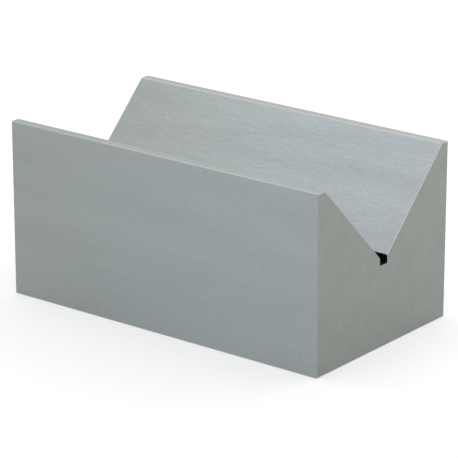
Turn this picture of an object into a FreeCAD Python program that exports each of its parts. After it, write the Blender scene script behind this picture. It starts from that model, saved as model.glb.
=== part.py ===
import FreeCAD, Part
import enum
import math
import os

import Sketcher

# V block: one ground steel prism with a 90 degree vee along the top and a relief slot at its root.
# X runs along the block, Y across it and Z up. The origin is the centre of the base.
# The vee and the relief slot run the whole length and are open at both ends.

SIZES = {
    # the prism before it is cut
    "block_length": 125,
    "block_width": 70,
    "block_height": 60,
    # the flat strip left on the top face at each side of the vee
    "land_width": 3.5,
    # full angle between the two flanks, in degrees
    "vee_angle": 90,
    # relief slot: its width, and how far its floor lies below the flanks' lower edges
    "relief_width": 4,
    "relief_depth": 2.75,
    # flat bevel on every outer edge and on every edge of the vee, but not on the relief slot
    "edge_break": 0.25,
}

NODE = "v_block"
SAME_PLACE = 1e-4


class Line(enum.IntEnum):
    """A sketch's two axes, as the Sketcher numbers them."""

    SIDE_AXIS = -1
    UP_AXIS = -2


class Point(enum.IntEnum):
    """The points of a sketch line, as the Sketcher numbers them. An axis' start is the origin."""

    START = 1
    END = 2


def make_sheet(doc):
    """The spreadsheet that drives every size, one named cell a row."""
    sheet = doc.addObject("Spreadsheet::Sheet", "Sizes")
    for row, (name, value) in enumerate(SIZES.items(), start=1):
        sheet.set(f"A{row}", name)
        sheet.set(f"B{row}", str(value))
        sheet.setAlias(f"B{row}", name)
    doc.recompute()
    return sheet


def end_view_sketch(body, name):
    """An empty sketch on the body's YZ plane: its first axis is the row's Y, its second is Z."""
    sketch = body.newObject("Sketcher::SketchObject", name)
    plane = next(p for p in body.Origin.OriginFeatures if p.Role == "YZ_Plane")
    sketch.AttachmentSupport = [(plane, "")]
    sketch.MapMode = "FlatFace"
    return sketch


def draw_outline(sketch, corners):
    """Joins the corners with a closed ring of lines. Line n starts at corner n."""
    points = [FreeCAD.Vector(across, up, 0) for across, up in corners]
    count = len(points)
    for index, point in enumerate(points):
        sketch.addGeometry(Part.LineSegment(point, points[(index + 1) % count]), False)
    for index in range(count):
        following = (index + 1) % count
        sketch.addConstraint(Sketcher.Constraint("Coincident", index, Point.END, following, Point.START))


def centre(sketch, line):
    """Holds the line's two ends at equal distances from the up axis."""
    ends = (line, Point.START, line, Point.END)
    sketch.addConstraint(Sketcher.Constraint("Symmetric", *ends, Line.UP_AXIS))


def bind(sketch, constraint, name, expression):
    """Adds a sized constraint and ties its value to the sheet."""
    index = sketch.addConstraint(constraint)
    sketch.renameConstraint(index, name)
    sketch.setExpression(f"Constraints.{name}", expression)


def block_sketch(body):
    """Rectangle standing on the side axis and centred on the up axis."""
    sketch = end_view_sketch(body, "BlockSection")
    half = SIZES["block_width"] / 2
    top = SIZES["block_height"]
    draw_outline(sketch, [(-half, 0), (half, 0), (half, top), (-half, top)])
    base, right, lid, left = range(4)
    sketch.addConstraint(Sketcher.Constraint("PointOnObject", base, Point.START, Line.SIDE_AXIS))
    centre(sketch, base)
    sketch.addConstraint(Sketcher.Constraint("Vertical", right))
    sketch.addConstraint(Sketcher.Constraint("Vertical", left))
    sketch.addConstraint(Sketcher.Constraint("Horizontal", lid))
    bind(
        sketch,
        Sketcher.Constraint("DistanceX", base, Point.START, base, Point.END, 2 * half),
        "width",
        "Sizes.block_width",
    )
    bind(
        sketch,
        Sketcher.Constraint("DistanceY", right, Point.START, right, Point.END, top),
        "height",
        "Sizes.block_height",
    )
    return sketch


def vee_sketch(body):
    """Triangle whose lower corner is the sharp point where the two flanks would meet."""
    sketch = end_view_sketch(body, "VeeSection")
    half = SIZES["block_width"] / 2 - SIZES["land_width"]
    top = SIZES["block_height"]
    half_angle = math.radians(SIZES["vee_angle"] / 2)
    draw_outline(sketch, [(0, top - half / math.tan(half_angle)), (half, top), (-half, top)])
    right_flank, lid, left_flank = range(3)
    sketch.addConstraint(Sketcher.Constraint("PointOnObject", right_flank, Point.START, Line.UP_AXIS))
    centre(sketch, lid)
    bind(
        sketch,
        Sketcher.Constraint("DistanceX", lid, Point.END, lid, Point.START, 2 * half),
        "opening",
        "Sizes.block_width - 2 * Sizes.land_width",
    )
    bind(
        sketch,
        Sketcher.Constraint("DistanceY", Line.SIDE_AXIS, Point.START, lid, Point.START, top),
        "top",
        "Sizes.block_height",
    )
    bind(
        sketch,
        Sketcher.Constraint("Angle", right_flank, Point.START, left_flank, Point.END, 2 * half_angle),
        "angle",
        "Sizes.vee_angle",
    )
    return sketch


def relief_sketch(body):
    """Rectangle from the slot's floor up through the vee to the level of the top face."""
    sketch = end_view_sketch(body, "ReliefSection")
    half = SIZES["relief_width"] / 2
    top = SIZES["block_height"]
    half_vee = SIZES["block_width"] / 2 - SIZES["land_width"]
    flank_depth = (half_vee - half) / math.tan(math.radians(SIZES["vee_angle"] / 2))
    floor = top - flank_depth - SIZES["relief_depth"]
    draw_outline(sketch, [(-half, floor), (half, floor), (half, top), (-half, top)])
    floor_line, right, lid, left = range(4)
    centre(sketch, floor_line)
    sketch.addConstraint(Sketcher.Constraint("Vertical", right))
    sketch.addConstraint(Sketcher.Constraint("Vertical", left))
    sketch.addConstraint(Sketcher.Constraint("Horizontal", lid))
    bind(
        sketch,
        Sketcher.Constraint("DistanceX", floor_line, Point.START, floor_line, Point.END, 2 * half),
        "width",
        "Sizes.relief_width",
    )
    bind(
        sketch,
        Sketcher.Constraint("DistanceY", Line.SIDE_AXIS, Point.START, lid, Point.START, top),
        "top",
        "Sizes.block_height",
    )
    flank_width = "Sizes.block_width / 2 - Sizes.land_width - Sizes.relief_width / 2"
    bind(
        sketch,
        Sketcher.Constraint("DistanceY", right, Point.START, right, Point.END, top - floor),
        "depth",
        f"({flank_width}) / tan(Sizes.vee_angle / 2) + Sizes.relief_depth",
    )
    return sketch


def cut_through(doc, body, sketch, name):
    """Cuts the sketch's outline out of the body along its whole length, both ways from the middle."""
    before = body.Shape.Volume
    pocket = body.newObject("PartDesign::Pocket", name)
    pocket.Profile = sketch
    pocket.SideType = "Symmetric"
    pocket.Type = "ThroughAll"
    doc.recompute()
    if not pocket.Shape.Volume < before:
        raise RuntimeError(f"{name} cut nothing")
    return pocket


def edges_to_break(shape):
    """Names of all edges but the relief slot's own, which lie within its width."""
    slot_side = SIZES["relief_width"] / 2 + SAME_PLACE
    return [
        f"Edge{number}"
        for number, edge in enumerate(shape.Edges, start=1)
        if any(abs(corner.Y) > slot_side for corner in edge.Vertexes)
    ]


def make_block(doc):
    """The whole V block as one body: pad the prism, cut the vee, cut the relief, break the edges."""
    body = doc.addObject("PartDesign::Body", NODE)
    body.Label = NODE

    prism = body.newObject("PartDesign::Pad", "Prism")
    prism.Profile = block_sketch(body)
    prism.SideType = "Symmetric"
    prism.setExpression("Length", "Sizes.block_length")
    doc.recompute()

    cut_through(doc, body, vee_sketch(body), "Vee")
    relief = cut_through(doc, body, relief_sketch(body), "Relief")

    bevel = body.newObject("PartDesign::Chamfer", "EdgeBreak")
    bevel.Base = (relief, edges_to_break(relief.Shape))
    bevel.setExpression("Size", "Sizes.edge_break")
    body.Placement = FreeCAD.Placement()
    body.Tip = bevel
    doc.recompute()
    return body


def check(doc, parts):
    """Stops with a plain message if any object failed or any sub-part isn't one valid solid."""
    for item in doc.Objects:
        if "Invalid" in item.State or "Error" in item.State:
            raise RuntimeError(f"{item.Name} failed: {item.State}")
    for part in parts:
        shape = part.Shape
        if shape.isNull() or not shape.isValid() or len(shape.Solids) != 1:
            raise RuntimeError(f"{part.Label} is not one valid solid")


def main():
    os.makedirs("parts", exist_ok=True)
    doc = FreeCAD.newDocument("VBlock")
    make_sheet(doc)
    parts = [make_block(doc)]
    check(doc, parts)
    for part in parts:
        part.Shape.exportStep(f"parts/{part.Label}.step")
        print(part.Label, "volume", round(part.Shape.Volume, 1), "mm3", part.Shape.BoundBox)


main()
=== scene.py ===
"""Looks of the ground steel V block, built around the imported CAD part."""

import math

import bpy
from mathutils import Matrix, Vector

MM = 0.001
NODE = "v_block"

# Camera: the photograph's angle in degrees, on a long lens. The lens and sensor are in millimetres.
CAMERA_AZIMUTH = 38.12
CAMERA_ELEVATION = 18.87
CAMERA_LENS = 220.35
CAMERA_SENSOR = 36.0
CAMERA_DISTANCE = 917.6 * MM
CAMERA_AIM = Vector((1.13, -0.53, 26.72)) * MM
CAMERA_CLIP = (0.01, 100.0)

# Steel, in linear colour: the faces along the block, lighter and cooler towards the near end as painted
# light, the lands in front of the vee, painted darker, and behind it, painted lighter, the two ends,
# darker partly from a finish of their own and partly as painted shade, and the broken edges, lighter than
# their faces as painted highlights: along the outside, round the vee and at the ends.
SHADED_FAR_STEEL = (0.291, 0.319, 0.315, 1.0)
LIT_NEAR_STEEL = (0.312, 0.345, 0.358, 1.0)
SHADED_FRONT_LAND = (0.288, 0.315, 0.307, 1.0)
LIT_REAR_LAND = (0.323, 0.332, 0.3225, 1.0)
END_FINISH_AND_SHADE = (0.268, 0.286, 0.268, 1.0)
OUTER_EDGE_HIGHLIGHT = (0.385, 0.405, 0.39, 1.0)
RIM_EDGE_HIGHLIGHT = (0.51, 0.53, 0.51, 1.0)
END_EDGE_HIGHLIGHT = (0.30, 0.317, 0.305, 1.0)
# The mottle multiplies the steel by a colour between these two.
COOL_TINT = (0.965, 1.0, 1.012, 1.0)
WARM_TINT = (1.035, 1.0, 0.988, 1.0)
# The relief slot: near black as painted shade in the recess, its floor a little less dark.
SLOT_WALL_SHADE = (0.0015, 0.0015, 0.0015, 1.0)
SLOT_FLOOR_SHADE = (0.006, 0.006, 0.0055, 1.0)

# How long the marks and patches are on each axis, in millimetres.
GRAIN = (1.0, 1.0, 0.8)
SCRATCHES = (5.0, 0.6, 0.6)
CLOUDS = (60.0, 9.0, 9.0)
MOTTLE = (22.0, 6.0, 6.0)
# How far marks and clouds change the tone, on a plain face and on a flank of the vee.
MARK_DEPTH = (0.36, 0.62)
CLOUD_DEPTH = (0.14, 0.30)
# Share of scratches in a flank's marks. The rest is grain.
SCRATCH_SHARE = 0.5
# Places along the block, in millimetres, between which the steel turns lighter and cooler: painted light.
DRIFT_START = -60.0
DRIFT_END = 50.0

GROUND_ROUGHNESS = 0.37
MARK_ROUGHNESS = 0.10
EDGE_ROUGHNESS = 0.34
SLOT_ROUGHNESS = 0.9
SPECULAR_LEVEL = 0.1
BUMP_STRENGTH = 0.25
BUMP_HEIGHT = 0.02 * MM

# A surface that faces a direction by more than this share faces it squarely.
SQUARELY = 0.99
# The broken edges round the vee face a flank's way by more than this share, those at the ends by less.
RIM_FACING = 0.4
# The long outer edges lie this near the sides, and a corner on the slot's wall this near it: millimetres.
OUTER_STRIP = 1.0
WALL_SLACK = 0.01
FLOOR_SLACK = 0.05

FLOOR_SIZE = 12.0
FLOOR_DROP = 0.05 * MM
FLOOR_PAPER = (0.94, 0.94, 0.94, 1.0)
FLOOR_GLOW = 0.5
WHITE = (1.0, 1.0, 1.0, 1.0)
LAMP_TARGET = (0, 0, 0.03)


def node(tree, kind, **settings):
    """A new shader node. A name that is one of its inputs sets that input, any other its property."""
    made = tree.nodes.new(kind)
    for name, value in settings.items():
        if name in made.inputs:
            made.inputs[name].default_value = value
        else:
            setattr(made, name, value)
    return made


def feed(tree, target, value):
    """Links a socket to the target input, or sets a plain value there."""
    if isinstance(value, bpy.types.NodeSocket):
        tree.links.new(value, target)
    else:
        target.default_value = value


def math_node(tree, operation, *values):
    made = node(tree, "ShaderNodeMath", operation=operation)
    for index, value in enumerate(values):
        feed(tree, made.inputs[index], value)
    return made.outputs[0]


def largest(tree, first, *others):
    for other in others:
        first = math_node(tree, "MAXIMUM", first, other)
    return first


def above(tree, value, limit):
    """1 where the value is over the limit, elsewhere 0."""
    return math_node(tree, "GREATER_THAN", value, limit)


def below(tree, value, limit):
    """1 where the value is under the limit, elsewhere 0."""
    return math_node(tree, "LESS_THAN", value, limit)


def smooth_step(tree, value, low, high):
    """0 up to low, 1 from high on, and smooth between them."""
    settings = {"From Min": low, "From Max": high}
    made = node(tree, "ShaderNodeMapRange", interpolation_type="SMOOTHSTEP", **settings)
    feed(tree, made.inputs["Value"], value)
    return made.outputs["Result"]


def blend_values(tree, share, first, second):
    made = node(tree, "ShaderNodeMix", data_type="FLOAT")
    for index, value in zip((0, 2, 3), (share, first, second)):
        feed(tree, made.inputs[index], value)
    return made.outputs[0]


def blend_colours(tree, share, first, second, kind="MIX"):
    made = node(tree, "ShaderNodeMix", data_type="RGBA", blend_type=kind)
    for index, value in zip((0, 6, 7), (share, first, second)):
        feed(tree, made.inputs[index], value)
    return made.outputs[2]


def noise(tree, position, lengths, detail=3.0, roughness=0.5):
    """Noise from 0 to 1 whose grain is that many millimetres long on each axis."""
    scaled = node(tree, "ShaderNodeVectorMath", operation="MULTIPLY")
    tree.links.new(position, scaled.inputs[0])
    scaled.inputs[1].default_value = [1.0 / length for length in lengths]
    made = node(tree, "ShaderNodeTexNoise", Scale=1.0, Detail=detail, Roughness=roughness)
    tree.links.new(scaled.outputs[0], made.inputs["Vector"])
    return made.outputs["Fac"]


def split(tree, vector):
    """A vector's three components."""
    made = tree.nodes.new("ShaderNodeSeparateXYZ")
    tree.links.new(vector, made.inputs[0])
    return [made.outputs[axis] for axis in "XYZ"]


def change_tone(tree, noise_value, depth):
    """A factor round 1 that follows the noise, that deep."""
    centred = math_node(tree, "SUBTRACT", noise_value, 0.5)
    return math_node(tree, "MULTIPLY_ADD", centred, depth, 1.0)


def slot_mask(tree, corners, across, up, to_end):
    """1 on the relief slot's walls and floor: the slot is as narrow as the block's innermost corners."""
    half = min(abs(corner.y) for corner in corners)
    floor = min(corner.z for corner in corners if abs(abs(corner.y) - half) < WALL_SLACK)
    inside = math_node(
        tree,
        "MULTIPLY",
        below(tree, across, half + WALL_SLACK),
        above(tree, up, floor - FLOOR_SLACK),
    )
    return math_node(tree, "MULTIPLY", inside, below(tree, to_end, 0.5))


def ground_steel(block):
    material = bpy.data.materials.new("ground_steel_surface")
    material.use_nodes = True
    tree = material.node_tree
    tree.nodes.clear()
    coordinates = tree.nodes.new("ShaderNodeTexCoord")
    to_mm = node(tree, "ShaderNodeVectorMath", operation="SCALE", Scale=1.0 / MM)
    tree.links.new(coordinates.outputs["Object"], to_mm.inputs[0])
    position = to_mm.outputs[0]
    along, side, up = split(tree, position)
    across = math_node(tree, "ABSOLUTE", side)
    corners = [vertex.co / MM for vertex in block.data.vertices]
    half_width = max(abs(corner.y) for corner in corners)

    # which way the surface faces, either way along each axis, and whether it faces as a flank does
    to_end, to_side, to_sky = (
        math_node(tree, "ABSOLUTE", part) for part in split(tree, coordinates.outputs["Normal"])
    )
    to_vee = math_node(tree, "MULTIPLY", 2.0, math_node(tree, "MULTIPLY", to_side, to_sky))

    # the broken edges face none of the ways that the ground faces do, but the long outer ones face as
    # the flanks do
    skew = below(tree, largest(tree, to_end, to_side, to_sky, to_vee), SQUARELY)
    outer_long = math_node(
        tree,
        "MULTIPLY",
        above(tree, to_vee, SQUARELY),
        above(tree, across, half_width - OUTER_STRIP),
    )
    broken_edge = largest(tree, skew, outer_long)
    in_slot = slot_mask(tree, corners, across, up, to_end)

    # fine grain all over, half of it drawn out along the flanks, under slow clouds
    grain = noise(tree, position, GRAIN, roughness=0.6)
    scratches = noise(tree, position, SCRATCHES, roughness=0.6)
    marks = blend_values(tree, math_node(tree, "MULTIPLY", to_vee, SCRATCH_SHARE), grain, scratches)
    tone = math_node(
        tree,
        "MULTIPLY",
        change_tone(tree, marks, blend_values(tree, to_vee, *MARK_DEPTH)),
        change_tone(tree, noise(tree, position, CLOUDS), blend_values(tree, to_vee, *CLOUD_DEPTH)),
    )
    grey = tree.nodes.new("ShaderNodeCombineColor")
    for channel in grey.inputs:
        tree.links.new(tone, channel)

    # the faces' steel with its painted light and shade, the tone and, except on the ends, a warm and cool
    # mottle
    # painted light: the steel lighter and cooler towards the near end
    steel_with_painted_light = blend_colours(tree, smooth_step(tree, along, DRIFT_START, DRIFT_END), SHADED_FAR_STEEL, LIT_NEAR_STEEL)
    # painted shade on the front land, painted light on the rear one
    lit_and_shaded_land = blend_colours(tree, above(tree, side, 0.0), SHADED_FRONT_LAND, LIT_REAR_LAND)
    steel_with_painted_light = blend_colours(tree, above(tree, to_sky, SQUARELY), steel_with_painted_light, lit_and_shaded_land)
    # the ends darker and warmer, partly a finish of their own, partly painted shade
    steel_with_painted_light = blend_colours(tree, to_end, steel_with_painted_light, END_FINISH_AND_SHADE)
    steel_with_painted_light = blend_colours(tree, 1.0, steel_with_painted_light, grey.outputs[0], "MULTIPLY")
    tint = blend_colours(tree, noise(tree, position, MOTTLE, detail=2.0), COOL_TINT, WARM_TINT)
    steel_with_painted_light = blend_colours(tree, math_node(tree, "SUBTRACT", 1.0, to_end), steel_with_painted_light, tint, "MULTIPLY")

    # the painted highlights on the broken edges and the painted shade in the slot lie over it
    # painted highlights on the broken edges: brightest round the vee, fainter along the outside, faintest
    # at the ends
    edge_highlight = blend_colours(tree, above(tree, to_vee, RIM_FACING), END_EDGE_HIGHLIGHT, RIM_EDGE_HIGHLIGHT)
    edge_highlight = blend_colours(tree, outer_long, edge_highlight, OUTER_EDGE_HIGHLIGHT)
    steel_with_painted_light = blend_colours(tree, broken_edge, steel_with_painted_light, edge_highlight)
    # painted shade in the slot: near-black walls and a slightly less dark floor
    slot_shade = blend_colours(tree, to_sky, SLOT_WALL_SHADE, SLOT_FLOOR_SHADE)
    colour = blend_colours(tree, in_slot, steel_with_painted_light, slot_shade)

    roughness = math_node(tree, "MULTIPLY_ADD", marks, MARK_ROUGHNESS, GROUND_ROUGHNESS)
    roughness = blend_values(tree, broken_edge, roughness, EDGE_ROUGHNESS)
    roughness = blend_values(tree, in_slot, roughness, SLOT_ROUGHNESS)
    bump = node(tree, "ShaderNodeBump", Strength=BUMP_STRENGTH, Distance=BUMP_HEIGHT)
    tree.links.new(marks, bump.inputs["Height"])

    shader = tree.nodes.new("ShaderNodeBsdfPrincipled")
    feed(tree, shader.inputs["Base Color"], colour)
    # not metallic in the slot, so that its painted shade shows no sheen
    feed(tree, shader.inputs["Metallic"], math_node(tree, "SUBTRACT", 1.0, in_slot))
    feed(tree, shader.inputs["Roughness"], roughness)
    feed(tree, shader.inputs["Specular IOR Level"], SPECULAR_LEVEL)
    feed(tree, shader.inputs["Normal"], bump.outputs[0])
    output = tree.nodes.new("ShaderNodeOutputMaterial")
    tree.links.new(shader.outputs[0], output.inputs[0])
    return material


def glow_share(tree, share):
    """The share for camera, glossy and transmission rays, and 0 for all others."""
    path = tree.nodes.new("ShaderNodeLightPath")
    rays = ("Is Camera Ray", "Is Glossy Ray", "Is Transmission Ray")
    seen = largest(tree, *(path.outputs[ray] for ray in rays))
    return math_node(tree, "MULTIPLY", seen, share)


def make_floor():
    """Pale paper that keeps the block's shadow and looks white round it."""
    bpy.ops.mesh.primitive_plane_add(size=FLOOR_SIZE, location=(0, 0, -FLOOR_DROP))
    floor = bpy.context.object
    floor.name = "floor"
    material = bpy.data.materials.new("pale_floor")
    material.use_nodes = True
    tree = material.node_tree
    tree.nodes.clear()
    paper = node(tree, "ShaderNodeBsdfDiffuse", Color=FLOOR_PAPER)
    glow = node(tree, "ShaderNodeEmission", Color=WHITE, Strength=1.0)
    mix = tree.nodes.new("ShaderNodeMixShader")
    tree.links.new(glow_share(tree, FLOOR_GLOW), mix.inputs[0])
    tree.links.new(paper.outputs[0], mix.inputs[1])
    tree.links.new(glow.outputs[0], mix.inputs[2])
    output = tree.nodes.new("ShaderNodeOutputMaterial")
    tree.links.new(mix.outputs[0], output.inputs[0])
    floor.data.materials.append(material)


def make_world():
    world = bpy.data.worlds.new("studio")
    bpy.context.scene.world = world
    world.use_nodes = True
    tree = world.node_tree
    tree.nodes.clear()
    white = node(tree, "ShaderNodeBackground", Color=WHITE, Strength=1.0)
    output = tree.nodes.new("ShaderNodeOutputWorld")
    tree.links.new(white.outputs[0], output.inputs[0])


def look_at(obj, place, target):
    obj.location = place
    obj.rotation_euler = (Vector(target) - Vector(place)).to_track_quat("-Z", "Y").to_euler()


def softbox(name, place, size, watts):
    """A square lamp turned to the block, which the camera doesn't see."""
    data = bpy.data.lights.new(name, "AREA")
    data.shape = "SQUARE"
    data.size = size
    data.energy = watts
    lamp = bpy.data.objects.new(name, data)
    bpy.context.scene.collection.objects.link(lamp)
    look_at(lamp, place, LAMP_TARGET)
    lamp.visible_camera = False


def make_lights():
    softbox("overhead_left", (-0.20, -0.05, 0.45), size=0.3, watts=0.245)
    softbox("front_low", (-0.12, -0.32, 0.12), size=0.2, watts=0.095)
    softbox("rear_right_low", (0.24, 0.18, 0.12), size=0.15, watts=0.072)
    softbox("rear_top", (0.05, 0.32, 0.28), size=0.42, watts=0.42)
    softbox("rear_left", (-0.30, 0.40, 0.20), size=0.3, watts=0.093)


def make_camera():
    data = bpy.data.cameras.new("camera")
    data.lens = CAMERA_LENS
    data.sensor_width = CAMERA_SENSOR
    data.clip_start, data.clip_end = CAMERA_CLIP
    camera = bpy.data.objects.new("camera", data)
    bpy.context.scene.collection.objects.link(camera)
    azimuth = math.radians(CAMERA_AZIMUTH)
    elevation = math.radians(CAMERA_ELEVATION)
    back = Vector(
        (
            math.sin(azimuth) * math.cos(elevation),
            -math.cos(azimuth) * math.cos(elevation),
            math.sin(elevation),
        )
    )
    look_at(camera, CAMERA_AIM + CAMERA_DISTANCE * back, CAMERA_AIM)
    bpy.context.scene.camera = camera


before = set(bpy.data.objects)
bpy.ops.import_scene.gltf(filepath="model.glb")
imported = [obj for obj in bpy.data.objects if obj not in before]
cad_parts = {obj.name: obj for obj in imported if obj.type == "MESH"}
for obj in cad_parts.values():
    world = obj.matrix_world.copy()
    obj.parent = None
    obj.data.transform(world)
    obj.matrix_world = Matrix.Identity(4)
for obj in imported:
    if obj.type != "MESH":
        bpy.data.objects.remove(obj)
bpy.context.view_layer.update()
bpy.context.scene.view_settings.view_transform = "Standard"
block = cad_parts[NODE]
steel_material = ground_steel(block)
for holder in block.material_slots:
    holder.material = steel_material
make_floor()
make_world()
make_lights()
make_camera()
